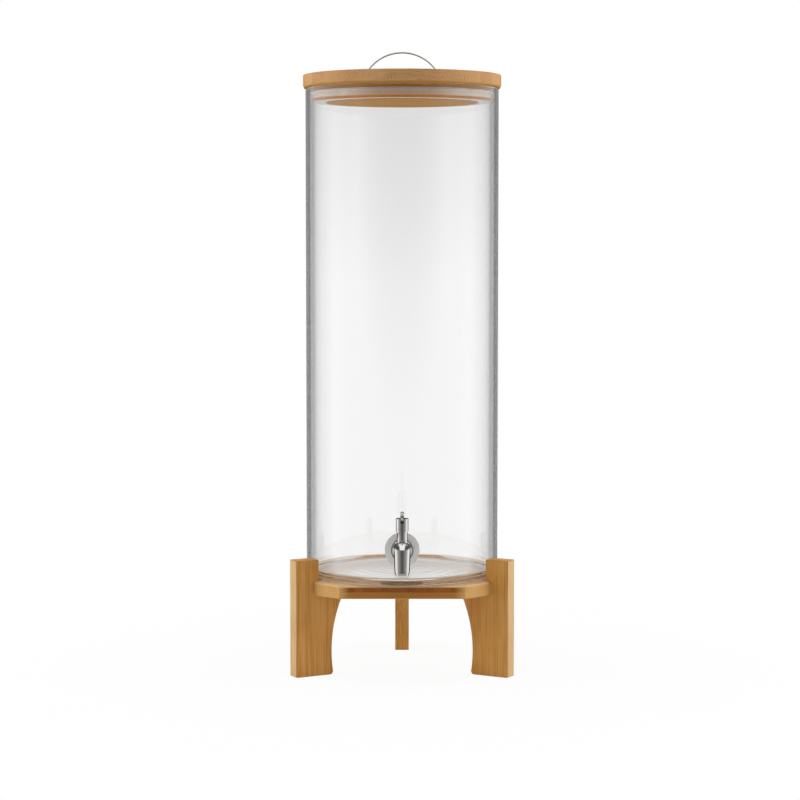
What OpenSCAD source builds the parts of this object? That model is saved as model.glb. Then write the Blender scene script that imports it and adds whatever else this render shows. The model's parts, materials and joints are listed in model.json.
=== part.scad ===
// Tall glass drink dispenser on a three-legged bamboo stand.
// A tube-like glass jar with a rounded heel stands on a bamboo plate between three posts.
// A bamboo lid with a silicone plug seal and a strap handle closes it, and a small
// quarter-turn steel tap is clamped through the front wall of the glass.
// Origin: on the jar's axis, at the level the feet stand on. Front (the tap) is -Y, up is +Z.

/* [Jar] */
// Outer diameter of the glass
jar_d = 203; // [160:1:220]
// Thickness of the glass wall
jar_wall = 4.5; // [3:0.5:7]
// Height of the glass from its foot to its rim
jar_h = 512.5; // [300:0.5:600]
// Thickness of the glass base
base_t = 5; // [4:0.5:9]
// Radius of the heel where wall and base meet, outside
heel_r = 5; // [3:0.5:9]
// Radius of the corner between wall and floor, inside
floor_r = 5; // [3:0.5:9]
// Rounding of the fire-polished rim
rim_r = 1.5; // [0.5:0.1:1.8]
// How far the middle of the base is pushed up
punt_h = 3; // [1.5:0.5:5]
// Width of the flat ring that the jar stands on
foot_w = 14; // [8:1:20]
// Radius of the ring-shaped mark left in the base by its making
mark_r = 46; // [30:1:60]
// Depth of that mark
mark_depth = 1; // [0.5:0.1:1.5]

/* [Stand] */
// Height of the seat that the jar stands on
seat_z = 99.5; // [80:0.5:140]
// Thickness of the boards of the legs
leg_t = 15; // [12:0.5:20]
// Width of a post above the seat, from its inner to its outer edge
post_w = 26.4; // [22:0.1:45]
// How far the posts rise above the seat
post_rise = 22.7; // [10:0.1:40]
// Gap between the glass and the posts
post_gap = 2.9; // [1:0.1:5]
// Width of a leg where its inner curve is deepest
foot_depth = 41.5; // [36:0.5:50]
// Radius of the inner curve of a leg
curve_r = 134; // [115:1:200]
// Height at which the inner curve is deepest
curve_z = 25; // [10:1:40]
// Rounding of the inner toe of a leg
toe_r = 3.5; // [1:0.5:6]
// Rounding of the outer edges of a leg
leg_edge = 1.5; // [0.5:0.25:3]
// Thickness of the plate
plate_t = 14; // [10:0.5:18]
// Depth of the notch in a post that takes the plate's rim
notch_depth = 6.3; // [3:0.1:10]
// How far the three flats of the plate lie inside the glass's outline, between the legs
flat_in = 11.8; // [2:0.1:15]
// Width of the plate at the middle of a flat
plate_ring = 14.7; // [10:0.1:25]
// Rounding of the plate's upper edge
plate_edge_top = 3; // [1:0.25:5]
// Rounding of the plate's lower edge
plate_edge_low = 1; // [0.5:0.25:3]
// Diameter of the screws that hold the plate down on the legs
leg_screw_d = 4; // [3:0.5:5]
// Length of those screws
leg_screw_len = 32; // [26:1:36]
// Distance between the two screws in one leg
leg_screw_gap = 11; // [10:0.5:12]
// Distance of the outer screw from the plate's rim
leg_screw_in = 9.7; // [7:0.1:11]

/* [Lid] */
// How far the lid stands out past the glass
lid_over = 2.5; // [1:0.1:8]
// Thickness of the lid's disc
lid_t = 13.4; // [11:0.2:20]
// Rounding of the lid's lower edge
lid_edge_low = 3; // [1:0.25:4]
// Rounding of the lid's upper edge
lid_edge_top = 1; // [0.5:0.25:3]
// Depth of the plug below the disc
plug_depth = 15.4; // [14:0.1:25]
// Height of the step under the disc, above the seal
shoulder_h = 3.4; // [2:0.1:4]
// Width of the seal from the plug to its outer wall
seal_w = 13; // [8:0.1:18]
// Thickness of the seal's walls
seal_wall = 2.2; // [1.5:0.1:3]
// Thickness of the seal's two lips
lip_t = 1.2; // [0.8:0.1:2]
// How far the lips stand out from the seal's outer wall
lip_len = 3.7; // [2:0.1:6]
// Gap that the lips leave to the glass
lip_gap = 0.3; // [0.2:0.05:0.6]
// Height of the rib that keys the seal to the plug
key_h = 3; // [2:0.5:4]
// Depth of that rib
key_depth = 1; // [0.5:0.1:1.5]

/* [Handle] */
// Rise of the handle above the lid
handle_rise = 24.1; // [15:0.1:40]
// Outer radius of the handle's arch
handle_r = 44; // [41:0.5:60]
// Width of the steel strap
strap_w = 10; // [8:0.5:18]
// Thickness of the steel strap
strap_t = 0.8; // [0.6:0.1:1.5]
// Length of the flat ear at each end of the strap
ear_len = 13; // [11:0.5:20]
// Diameter of the screws in the ears
ear_screw_d = 3.2; // [2.5:0.1:4]
// Length of those screws under the head
ear_screw_len = 10; // [8:0.5:12]

/* [Tap mounting] */
// Height of the tap's axis above the seat
tap_rise = 39; // [32:1:80]
// Diameter of the threaded shank
shank_d = 16; // [14:0.5:20]
// Gap round the shank in the glass
hole_gap = 0.5; // [0.3:0.1:1]
// Gap round the shank in the loose rings
ring_gap = 0.2; // [0.1:0.05:0.4]
// Thickness of the rubber gaskets at their thinnest
gasket_t = 2.5; // [1.5:0.1:4]
// Diameter of the outer gasket
gasket_d = 34; // [28:0.5:40]
// Diameter of the inner gasket and washer
washer_d = 27; // [24:0.5:30]
// Thickness of the steel washer
washer_t = 1.5; // [1:0.1:3]
// Width of the nut across its flats
nut_af = 24; // [22:0.5:27]
// Thickness of the nut
nut_t = 7; // [5:0.5:10]
// Length of shank left past the nut
shank_end = 2.5; // [1:0.5:6]
// Diameter of the flange
flange_d = 35.5; // [30:0.5:44]
// Thickness of the flange
flange_t = 3; // [2:0.5:5]

/* [Tap] */
// Diameter of the collar in front of the flange
collar_d = 22.6; // [20:0.2:28]
// Thickness of the collar
collar_t = 3; // [2:0.5:5]
// Diameter of the barrel
barrel_d = 16.4; // [14:0.2:17]
// From the collar to the valve's axis
valve_reach = 11; // [9:0.5:20]
// From the valve's axis to the spout's axis
spout_reach = 15; // [14:0.5:25]
// Diameter of the ball at the elbow
elbow_d = 17.3; // [17:0.1:20]
// How far the ball's centre lies above the tap's axis
elbow_lift = 3.5; // [0:0.05:5]
// Drop from the tap's axis to the spout's mouth
spout_drop = 21.2; // [18:0.1:40]
// Diameter of the spout just above its mouth
spout_d = 15.4; // [13:0.1:17]
// Diameter of the rim of the mouth
mouth_d = 13.4; // [11:0.1:14]
// Height of the taper at the mouth
mouth_h = 3; // [1:0.5:5]
// Bore of the spout
spout_bore_d = 9; // [7:0.5:10]
// Bore through the shank
inlet_d = 8.4; // [6:0.2:10]
// Bore on each side of the valve
port_d = 5.6; // [4:0.2:5.8]
// Diameter of the neck
neck_d = 10.8; // [10.4:0.1:12.4]
// Height of the neck's top above the tap's axis
neck_top = 21.2; // [19:0.2:30]
// Height of the step that stops the turn
step_h = 2.6; // [2:0.1:5]
// Clearance between the turning cap and the neck
turn_gap = 0.2; // [0.15:0.05:0.4]

/* [Valve] */
// Diameter of the plug's chamber
chamber_d = 8.6; // [8.2:0.1:8.8]
// Running clearance round the plug
plug_gap = 0.06; // [0.04:0.01:0.1]
// Bore across the plug
plug_bore_d = 5.4; // [4:0.2:5.6]
// Depth of the chamber below the tap's axis
chamber_drop = 5.6; // [4:0.1:6]
// Diameter of the plug's stem
stem_d = 6.4; // [5.6:0.2:6.8]
// Thickness of the rubber rings on the plug
o_ring_t = 1.2; // [1:0.1:1.6]
// Diameter of the set screw that holds the plug in
set_screw_d = 2; // [1.6:0.1:2.4]
// Diameter of the cap
cap_d = 12.8; // [12.4:0.1:14]
// Height of the cap above the step
cap_h = 10.2; // [9.8:0.1:16]
// Diameter of the two cross pins
pin_d = 2; // [1.6:0.1:2.4]

/* [Lever] */
// Thickness of the lever
lever_t = 3.6; // [2.5:0.1:4.5]
// Height of the lever's bar
lever_h = 4.2; // [3:0.1:5]
// Radius of the two bends of the lever
bend_r = 18; // [14:0.5:25]
// Angle of each bend
bend_a = 45; // [15:1:50]
// Straight length at the tip
tip_len = 5; // [4:0.5:20]

/* [Hidden] */
$fn = 64;

// Allowance past a face for a cut
cut = 1;
// Clearance of a pin or screw in its own hole
pin_gap = 0.05;
// Rounding that stands for a sharp edge
sharp = 0.01;
// Sides of the largest circles
fine = 180;

// Jar levels
jar_r = jar_d / 2;
bore_r = jar_r - jar_wall;
jar_top = seat_z + jar_h;
foot_r = jar_r - heel_r - foot_w;
punt_r = (foot_r * foot_r + punt_h * punt_h) / (2 * punt_h);
mark_z = seat_z + punt_h - punt_r + sqrt(punt_r * punt_r - mark_r * mark_r);
mark_round = 6 * mark_depth;

// Stand
half_t = leg_t / 2;
leg_angles = [-150, -30, 90];
flat_angles = [-90, 30, 150];
post_in = jar_r + post_gap;
leg_out = post_in + post_w;
post_top = seat_z + post_rise;
plate_z = seat_z - plate_t;
plate_r = post_in + notch_depth;
plate_flat = jar_r - flat_in;
plate_hole_r = plate_flat - plate_ring;
curve_x = leg_out - foot_depth - curve_r;
shoulder_in = curve_x + sqrt(curve_r * curve_r - pow(plate_z - curve_z, 2));
toe_x = curve_x + sqrt(pow(curve_r + toe_r, 2) - pow(toe_r - curve_z, 2));
leg_screw_r = leg_screw_d / 2;
leg_head_r = 2 * leg_screw_r;
leg_head_h = leg_head_r - leg_screw_r;
leg_head_sink = 0.5;
leg_head_z = seat_z - leg_head_sink;
leg_screw_spots = [plate_r - leg_screw_in - leg_screw_gap, plate_r - leg_screw_in];

// Lid
lid_r = jar_r + lid_over;
lid_top = jar_top + lid_t;
lip_r = bore_r - lip_gap;
seal_out = lip_r - lip_len;
plug_r = seal_out - seal_w;
plug_z = jar_top - plug_depth;
seal_set = 0.5;
seal_low = plug_z + seal_set;
seal_h = plug_depth - shoulder_h - 2 * seal_set;
key_z = seal_low + (seal_h - key_h) / 2;
lip_zs = [seal_low + seal_h / 4, seal_low + seal_h * 3 / 4];

// Handle
arch_z = lid_top + handle_rise - handle_r;
arch_foot = sqrt(handle_r * handle_r - pow(lid_top - arch_z, 2));
ear_x = arch_foot + ear_len / 2;
ear_screw_r = ear_screw_d / 2;
ear_head_r = 2 * ear_screw_r;
ear_head_h = ear_head_r / 2;

// Tap, measured forwards from the jar's axis (y is minus these)
tap_z = seat_z + tap_rise;
shank_r = shank_d / 2;
ring_bore_r = shank_r + ring_gap;
flange_back = jar_r + gasket_t;
flange_front = flange_back + flange_t;
collar_front = flange_front + collar_t;
valve_y = collar_front + valve_reach;
spout_y = valve_y + spout_reach;
washer_front = bore_r - gasket_t;
nut_front = washer_front - washer_t;
nut_back = nut_front - nut_t;
nut_point_r = nut_af / 2 / cos(30);
shank_back = nut_back - shank_end;
shank_chamfer = 1;
barrel_r = barrel_d / 2;
elbow_r = elbow_d / 2;
elbow_z = tap_z + elbow_lift;
mouth_z = tap_z - spout_drop;
taper_in = 0.2;
neck_r = neck_d / 2;
neck_z = tap_z + neck_top;
step_z = neck_z + step_h;
cap_r = cap_d / 2;
cap_z = step_z + turn_gap;
cap_top = cap_z + cap_h;
cap_edge = 0.8;
lug_r = cap_r - turn_gap;

// Valve
chamber_r = chamber_d / 2;
plug_body_r = chamber_r - plug_gap;
chamber_z = tap_z - chamber_drop;
stem_r = stem_d / 2;
pin_r = pin_d / 2;
pin_hole_r = pin_r + pin_gap;
set_r = set_screw_d / 2;
neck_low = tap_z + barrel_r;
ring_pitch = (neck_z - neck_low) / 4;
o_ring_zs = [neck_low + ring_pitch, neck_low + 3 * ring_pitch];
set_z = neck_low + 2 * ring_pitch;
groove_r = plug_body_r - o_ring_t;
set_tip = groove_r + turn_gap;
slot_z = cap_top - lever_h;
slot_floor = 1;
stem_top = slot_z - slot_floor;
cap_pin_z = (cap_z + stem_top) / 2;
lever_pin_z = slot_z + lever_h / 2;
slot_w = lever_t + 2 * pin_gap;
pin_sink = 0.6;
pin_len = cap_d - 2 * pin_sink;

// Lever, in its own plane: u runs forwards from the valve's axis
lever_mid_z = slot_z + pin_gap + lever_h / 2;
root_back = cap_r - cap_edge;
bend_u = cap_r - cap_edge;
bend_run = bend_r * sin(bend_a);
bend_lift = bend_r * (1 - cos(bend_a));
tip_u = bend_u + 2 * bend_run;
tip_z = lever_mid_z + 2 * bend_lift;

bamboo = [0.76, 0.56, 0.33];
pale_bamboo = [0.82, 0.64, 0.42];
steel = [0.78, 0.78, 0.79];
glass = [0.86, 0.90, 0.90, 0.35];
silicone = [0.90, 0.88, 0.84];
black_rubber = [0.12, 0.12, 0.12];

// Half outline of a round piece with rounded lower and upper outer edges
module round_profile(r, z0, z1, low, top) {
    translate([0, z0])
        square([r - low, z1 - z0]);
    translate([0, z0])
        square([r - top, z1 - z0]);
    translate([0, z0 + low])
        square([r, z1 - z0 - low - top]);
    translate([r - low, z0 + low])
        circle(r = low);
    translate([r - top, z1 - top])
        circle(r = top);
}

// What is cut from a square outer corner to round it
module corner_cut(r) {
    difference() {
        translate([-r, -r])
            square(r + cut);
        translate([-r, -r])
            circle(r = r);
    }
}

// A cylinder that runs forwards, from one distance in front of the jar's axis to another
module forward_rod(r, from, to) {
    translate([0, -from, tap_z])
        rotate([90, 0, 0])
            cylinder(r = r, h = to - from);
}

// A cross pin along X through the valve's axis
module cross_rod(r, len, z) {
    translate([0, -valve_y, z])
        rotate([0, 90, 0])
            cylinder(r = r, h = len, center = true);
}

// Side outline of a leg: x is the distance from the jar's axis, y the height
module leg_outline() {
    difference() {
        translate([shoulder_in - cut, 0])
            square([leg_out - shoulder_in + cut, post_top]);
        translate([curve_x, curve_z])
            circle(r = curve_r, $fn = fine);
        translate([0, seat_z])
            square([post_in, post_rise + cut]);
        translate([leg_out, post_top])
            corner_cut(leg_edge);
        translate([leg_out, 0])
            mirror([0, 1])
                corner_cut(leg_edge);
        translate([post_in, post_top])
            mirror([1, 0])
                corner_cut(leg_edge);
        toe_cut();
    }
}

// What is cut away to round the toe between the inner curve and the floor
module toe_cut() {
    share = curve_r / (curve_r + toe_r);
    touch = [curve_x + (toe_x - curve_x) * share, curve_z + (toe_r - curve_z) * share];
    difference() {
        polygon([[shoulder_in - cut, -cut], [toe_x, -cut], [toe_x, toe_r], touch, [shoulder_in - cut, touch[1]]]);
        translate([toe_x, toe_r])
            circle(r = toe_r);
    }
}

module leg(angle) {
    color(bamboo)
        rotate([0, 0, angle])
            difference() {
                rotate([90, 0, 0])
                    linear_extrude(height = leg_t, center = true)
                        leg_outline();
                for (side = [0, 1])
                    mirror([0, side, 0])
                        translate([leg_out, half_t, -cut])
                            linear_extrude(height = post_top + 2 * cut)
                                corner_cut(leg_edge);
                translate([0, 0, plate_z])
                    cylinder(r = plate_r, h = plate_t, $fn = fine);
                for (r = leg_screw_spots)
                    translate([r, 0, leg_head_z - leg_screw_len - cut])
                        cylinder(r = leg_screw_r + pin_gap, h = leg_screw_len + cut);
            }
}

function direction(a) = [cos(a), sin(a)];

// A slab that ends in one flat of the plate, with its rounded edges
module flat_slab(angle) {
    rotate([90, 0, angle])
        linear_extrude(height = 4 * plate_r, center = true)
            difference() {
                translate([-plate_r, plate_z])
                    square([plate_r + plate_flat, plate_t]);
                translate([plate_flat, seat_z])
                    corner_cut(plate_edge_top);
                translate([plate_flat, plate_z])
                    mirror([0, 1])
                        corner_cut(plate_edge_low);
            }
}

module stand_plate() {
    color(bamboo)
        difference() {
            intersection() {
                rotate_extrude($fn = fine)
                    round_profile(plate_r, plate_z, seat_z, plate_edge_low, plate_edge_top);
                flat_slab(flat_angles[0]);
                flat_slab(flat_angles[1]);
                flat_slab(flat_angles[2]);
            }
            translate([0, 0, plate_z - cut])
                cylinder(r = plate_hole_r, h = plate_t + 2 * cut, $fn = fine);
            for (a = leg_angles)
                for (r = leg_screw_spots)
                    rotate([0, 0, a])
                        translate([r, 0, 0])
                            screw_hole();
        }
}

// Countersunk hole from the plate's top
module screw_hole() {
    translate([0, 0, plate_z - cut])
        cylinder(r = leg_screw_r + pin_gap, h = plate_t + 2 * cut);
    translate([0, 0, leg_head_z - leg_head_h])
        cylinder(r1 = leg_screw_r + pin_gap, r2 = leg_head_r + pin_gap, h = leg_head_h);
    translate([0, 0, leg_head_z])
        cylinder(r = leg_head_r + pin_gap, h = leg_head_sink + cut);
}

module leg_screws() {
    color(steel)
        for (a = leg_angles)
            for (r = leg_screw_spots)
                rotate([0, 0, a])
                    translate([r, 0, leg_head_z])
                        rotate_extrude()
                            polygon([[0, 0], [leg_head_r, 0], [leg_screw_r, -leg_head_h],
                                [leg_screw_r, -leg_screw_len + leg_screw_r], [0, -leg_screw_len]]);
}

module glass_jar() {
    color(glass)
        difference() {
            rotate_extrude($fn = fine)
                difference() {
                    round_profile(jar_r, seat_z, jar_top, heel_r, rim_r);
                    jar_inside();
                    translate([0, seat_z + punt_h - punt_r])
                        circle(r = punt_r, $fn = fine);
                    translate([mark_r, mark_z + mark_depth - mark_round])
                        circle(r = mark_round);
                }
            forward_rod(shank_r + hole_gap, jar_r / 2, jar_r + cut);
        }
}

// Outline of the space in the jar, with the floor's gentle rise and the rounded rim
module jar_inside() {
    difference() {
        round_profile(bore_r, seat_z + base_t, jar_top + cut, floor_r, sharp);
        translate([0, seat_z + base_t + punt_h - punt_r])
            circle(r = punt_r, $fn = fine);
    }
    translate([bore_r, jar_top])
        mirror([1, 0])
            corner_cut(rim_r);
}

module outer_gasket() {
    color(silicone)
        difference() {
            forward_rod(gasket_d / 2, jar_r / 2, flange_back);
            cylinder(r = jar_r, h = jar_top, $fn = fine);
            forward_rod(ring_bore_r, jar_r / 2 - cut, flange_back + cut);
        }
}

module inner_gasket() {
    color(silicone)
        difference() {
            intersection() {
                forward_rod(washer_d / 2, washer_front, jar_r);
                cylinder(r = bore_r, h = jar_top, $fn = fine);
            }
            forward_rod(ring_bore_r, washer_front - cut, jar_r + cut);
        }
}

module shank_washer() {
    color(steel)
        difference() {
            forward_rod(washer_d / 2, nut_front, washer_front);
            forward_rod(ring_bore_r, nut_front - cut, washer_front + cut);
        }
}

module shank_nut() {
    color(steel)
        difference() {
            intersection() {
                translate([0, -nut_back, tap_z])
                    rotate([90, 0, 0])
                        cylinder(r = nut_point_r, h = nut_t, $fn = 6);
                translate([0, -nut_back, tap_z])
                    rotate([90, 0, 0])
                        rotate_extrude()
                            nut_chamfer();
            }
            forward_rod(shank_r + pin_gap, nut_back - cut, nut_front + cut);
        }
}

// Outline that takes the sharp points off the nut's inner end
module nut_chamfer() {
    flat_r = nut_af / 2;
    outer_r = nut_point_r + cut;
    polygon([[0, 0], [flat_r, 0], [outer_r, outer_r - flat_r], [outer_r, nut_t], [0, nut_t]]);
}

module tap_flange() {
    edge = flange_t / 2;
    color(steel)
        difference() {
            translate([0, -flange_back, tap_z])
                rotate([90, 0, 0])
                    rotate_extrude()
                        round_profile(flange_d / 2, 0, flange_t, sharp, edge);
            forward_rod(ring_bore_r, flange_back - cut, flange_front + cut);
        }
}

// Shank, collar and barrel as one turned piece, drawn from the shank's inner end
module tap_barrel() {
    collar_r = collar_d / 2;
    flare = collar_r - barrel_r;
    translate([0, -shank_back, tap_z])
        rotate([90, 0, 0])
            rotate_extrude()
                difference() {
                    polygon([[0, 0], [shank_r - shank_chamfer, 0], [shank_r, shank_chamfer],
                        [shank_r, flange_front - shank_back], [collar_r, flange_front - shank_back],
                        [collar_r, collar_front - shank_back], [barrel_r, collar_front - shank_back + flare],
                        [barrel_r, spout_y - shank_back], [0, spout_y - shank_back]]);
                    translate([collar_r, collar_front - shank_back + flare])
                        circle(r = flare);
                }
}

// Ball elbow and tapered spout, turned about the spout's own axis
module tap_spout() {
    translate([0, -spout_y, 0])
        rotate_extrude() {
            intersection() {
                translate([0, elbow_z])
                    circle(r = elbow_r);
                translate([0, mouth_z])
                    square([elbow_r + cut, elbow_z + elbow_r - mouth_z + cut]);
            }
            polygon([[0, mouth_z], [mouth_d / 2, mouth_z], [spout_d / 2, mouth_z + mouth_h],
                [elbow_r - taper_in, elbow_z], [0, elbow_z]]);
        }
}

// A quarter ring on the neck: the fixed half of the stop
module stop_lug() {
    intersection() {
        translate([0, -valve_y, neck_z - cut])
            difference() {
                cylinder(r = lug_r, h = step_h + cut);
                translate([0, 0, -cut])
                    cylinder(r = chamber_r, h = step_h + 3 * cut);
            }
        translate([-cap_d - turn_gap, -valve_y - cap_d - turn_gap, neck_z - cut])
            cube([cap_d, cap_d, step_h + cut]);
    }
}

module tap_body() {
    color(steel)
        difference() {
            union() {
                tap_barrel();
                tap_spout();
                translate([0, -valve_y, tap_z])
                    cylinder(r = neck_r, h = neck_top);
                stop_lug();
            }
            forward_rod(inlet_d / 2, shank_back - cut, collar_front);
            forward_rod(port_d / 2, collar_front - cut, spout_y);
            translate([0, -valve_y, chamber_z])
                cylinder(r = chamber_r, h = neck_z - chamber_z + cut);
            translate([0, -spout_y, mouth_z - cut])
                cylinder(r = spout_bore_d / 2, h = tap_z + port_d / 2 - mouth_z + cut);
            translate([0, -valve_y, set_z])
                rotate([-90, 0, 0])
                    cylinder(r = set_r + pin_gap, h = neck_d);
        }
}

module plug_set_screw() {
    color(steel)
        translate([0, -valve_y + set_tip, set_z])
            rotate([-90, 0, 0])
                cylinder(r = set_r, h = neck_r - set_tip);
}

module valve_plug() {
    groove_h = o_ring_t + 2 * pin_gap;
    color(steel)
        difference() {
            translate([0, -valve_y, 0])
                rotate_extrude()
                    difference() {
                        polygon([[0, chamber_z + turn_gap], [plug_body_r, chamber_z + turn_gap],
                            [plug_body_r, neck_z - turn_gap], [stem_r, neck_z - turn_gap],
                            [stem_r, stem_top - turn_gap], [0, stem_top - turn_gap]]);
                        for (z = o_ring_zs)
                            translate([groove_r, z - groove_h / 2])
                                square([o_ring_t + cut, groove_h]);
                        translate([groove_r, set_z - set_r - turn_gap])
                            square([o_ring_t + cut, 2 * (set_r + turn_gap)]);
                    }
            cross_rod(plug_bore_d / 2, chamber_d + cut, tap_z);
            cross_rod(pin_hole_r, cap_d, cap_pin_z);
        }
}

module plug_o_rings() {
    round = o_ring_t / 2;
    color(black_rubber)
        for (z = o_ring_zs)
            translate([0, -valve_y, z])
                rotate_extrude()
                    translate([plug_body_r - round, 0])
                        circle(r = round);
}

module tap_cap() {
    color(steel)
        difference() {
            union() {
                translate([0, -valve_y, 0])
                    rotate_extrude()
                        round_profile(cap_r, cap_z, cap_top, sharp, cap_edge);
                intersection() {
                    translate([0, -valve_y, neck_z + turn_gap])
                        cylinder(r = cap_r, h = step_h + cut);
                    translate([0, -valve_y - cap_d, neck_z])
                        cube([cap_d, 2 * cap_d, step_h + cut]);
                }
            }
            translate([0, -valve_y, neck_z])
                cylinder(r = stem_r + pin_gap, h = stem_top - neck_z);
            translate([-slot_w / 2, -valve_y - cap_d, slot_z])
                cube([slot_w, 2 * cap_d, cap_h]);
            cross_rod(pin_hole_r, cap_d + cut, cap_pin_z);
            cross_rod(pin_hole_r, cap_d + cut, lever_pin_z);
        }
}

module cap_pin() {
    color(steel)
        cross_rod(pin_r, pin_len, cap_pin_z);
}

module lever_pin() {
    color(steel)
        cross_rod(pin_r, pin_len, lever_pin_z);
}

// Side outline of the lever: a root in the cap, two opposite bends and a straight round tip
module lever_outline() {
    half = lever_h / 2;
    translate([-root_back, lever_mid_z - half])
        square([root_back + bend_u, lever_h]);
    bend_piece([bend_u, lever_mid_z + bend_r], -90);
    bend_piece([tip_u, tip_z - bend_r], 90);
    translate([tip_u, tip_z - half])
        square([tip_len, lever_h]);
    translate([tip_u + tip_len, tip_z])
        circle(r = half);
}

// A stretch of a ring that starts straight below or above its centre
module bend_piece(centre, start) {
    reach = 2 * bend_r;
    translate(centre)
        intersection() {
            difference() {
                circle(r = bend_r + lever_h / 2, $fn = fine);
                circle(r = bend_r - lever_h / 2, $fn = fine);
            }
            polygon([[0, 0], reach * direction(start), reach * direction(start + bend_a / 2),
                reach * direction(start + bend_a)]);
        }
}

module tap_lever() {
    color(steel)
        difference() {
            translate([-lever_t / 2, -valve_y, 0])
                rotate([90, 0, -90])
                    mirror([0, 0, 1])
                        linear_extrude(height = lever_t)
                            lever_outline();
            cross_rod(pin_hole_r, cap_d, lever_pin_z);
        }
}

module lid_board() {
    color(pale_bamboo)
        difference() {
            rotate_extrude($fn = fine)
                difference() {
                    union() {
                        round_profile(lid_r, jar_top, lid_top, lid_edge_low, lid_edge_top);
                        translate([0, jar_top - shoulder_h])
                            square([seal_out, shoulder_h + cut]);
                        translate([0, plug_z])
                            square([plug_r, plug_depth + cut]);
                    }
                    translate([plug_r - key_depth, key_z - pin_gap])
                        square([key_depth + cut, key_h + 2 * pin_gap]);
                }
            for (x = [-ear_x, ear_x])
                translate([x, 0, lid_top + strap_t - ear_screw_len - cut])
                    cylinder(r = ear_screw_r + pin_gap, h = ear_screw_len + cut);
        }
}

module lid_seal() {
    color(silicone)
        rotate_extrude($fn = fine)
            difference() {
                union() {
                    translate([plug_r, seal_low])
                        square([seal_w, seal_h]);
                    translate([plug_r - key_depth, key_z])
                        square([key_depth + cut, key_h]);
                    for (z = lip_zs)
                        translate([seal_out - cut, z - lip_t / 2])
                            square([lip_len + cut, lip_t]);
                }
                translate([plug_r + seal_wall, seal_low + seal_wall])
                    square([seal_w - 2 * seal_wall, seal_h]);
            }
}

module lid_handle() {
    color(steel)
        difference() {
            rotate([90, 0, 0])
                linear_extrude(height = strap_w, center = true)
                    strap_outline();
            for (x = [-ear_x, ear_x])
                translate([x, 0, lid_top - cut])
                    cylinder(r = ear_screw_r + pin_gap, h = strap_t + 2 * cut);
        }
}

// Side outline of the strap: an arch with a flat ear at each end
module strap_outline() {
    intersection() {
        translate([0, arch_z])
            difference() {
                circle(r = handle_r, $fn = fine);
                circle(r = handle_r - strap_t, $fn = fine);
            }
        translate([-handle_r, lid_top + strap_t / 2])
            square([2 * handle_r, handle_rise]);
    }
    for (x = [-arch_foot - ear_len, arch_foot - 2 * strap_t])
        translate([x, lid_top])
            square([ear_len + 2 * strap_t, strap_t]);
}

module handle_screws() {
    color(steel)
        for (x = [-ear_x, ear_x])
            translate([x, 0, lid_top + strap_t])
                rotate_extrude() {
                    round_profile(ear_head_r, 0, ear_head_h, sharp, ear_head_h / 2);
                    polygon([[0, 0], [ear_screw_r, 0], [ear_screw_r, ear_screw_r - ear_screw_len],
                        [0, -ear_screw_len]]);
                }
}

stand_plate();
leg(leg_angles[0]);  // leg_front_left
leg(leg_angles[1]);  // leg_front_right
leg(leg_angles[2]);  // leg_back
leg_screws();
glass_jar();
tap_body();
tap_flange();
outer_gasket();
inner_gasket();
shank_washer();
shank_nut();
plug_set_screw();
valve_plug();
plug_o_rings();
tap_cap();
cap_pin();
tap_lever();
lever_pin();
lid_board();
lid_seal();
lid_handle();
handle_screws();
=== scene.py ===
"""Looks of a tall glass drink dispenser on a bamboo stand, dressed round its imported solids."""

import json
import math

import bmesh
import bpy
from mathutils import Euler, Matrix, Vector


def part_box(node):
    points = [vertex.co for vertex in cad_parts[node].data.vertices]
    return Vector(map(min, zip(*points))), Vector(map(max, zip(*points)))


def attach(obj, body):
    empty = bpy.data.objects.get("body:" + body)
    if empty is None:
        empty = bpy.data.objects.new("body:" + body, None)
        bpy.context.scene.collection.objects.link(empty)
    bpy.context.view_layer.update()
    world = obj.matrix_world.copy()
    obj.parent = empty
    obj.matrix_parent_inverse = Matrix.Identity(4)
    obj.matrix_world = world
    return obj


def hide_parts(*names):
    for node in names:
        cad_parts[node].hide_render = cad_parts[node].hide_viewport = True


bl_info = {
    "name": "Glass drink dispenser",
    "version": (1, 0, 0),
    "blender": (4, 5, 0),
    "location": "View3D > Sidebar > Dispenser",
    "description": "Dresses the packed solids of a drink dispenser in glass, bamboo, steel and silicone",
    "category": "Object",
}

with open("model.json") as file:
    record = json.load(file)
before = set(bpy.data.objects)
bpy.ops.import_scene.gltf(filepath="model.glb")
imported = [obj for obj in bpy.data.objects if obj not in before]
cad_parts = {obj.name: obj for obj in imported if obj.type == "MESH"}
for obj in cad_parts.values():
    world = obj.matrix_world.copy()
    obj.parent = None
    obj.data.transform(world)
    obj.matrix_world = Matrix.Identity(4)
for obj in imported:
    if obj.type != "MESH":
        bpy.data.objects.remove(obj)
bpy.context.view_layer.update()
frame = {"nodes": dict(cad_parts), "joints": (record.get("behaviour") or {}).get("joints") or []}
NODES = frame["nodes"]
MM = 0.001
LEG_TURNS = {"leg_front_left": -150, "leg_front_right": -30, "leg_back": 90}
TAP_AXIS = Vector(next(joint for joint in frame["joints"] if joint["name"] == "tap_turn")["pos_m"])
UNTURNED = (0, 0, 0)
# Where the dark, the middle and the light tone of a board sit in its grain
GRAIN_STOPS = (0.36, 0.58, 0.82)


def box_of(node):
    """Lowest and highest corner of a CAD node."""
    low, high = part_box(node)
    return Vector(low), Vector(high)


JAR_LOW, JAR_HIGH = box_of("glass_jar")
SEAL_LOW, SEAL_HIGH = box_of("lid_seal")
PLATE_LOW, PLATE_HIGH = box_of("stand_plate")
LEVER_LOW, LEVER_HIGH = box_of("tap_lever")
LEVER_THICK = 4.2 * MM


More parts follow.
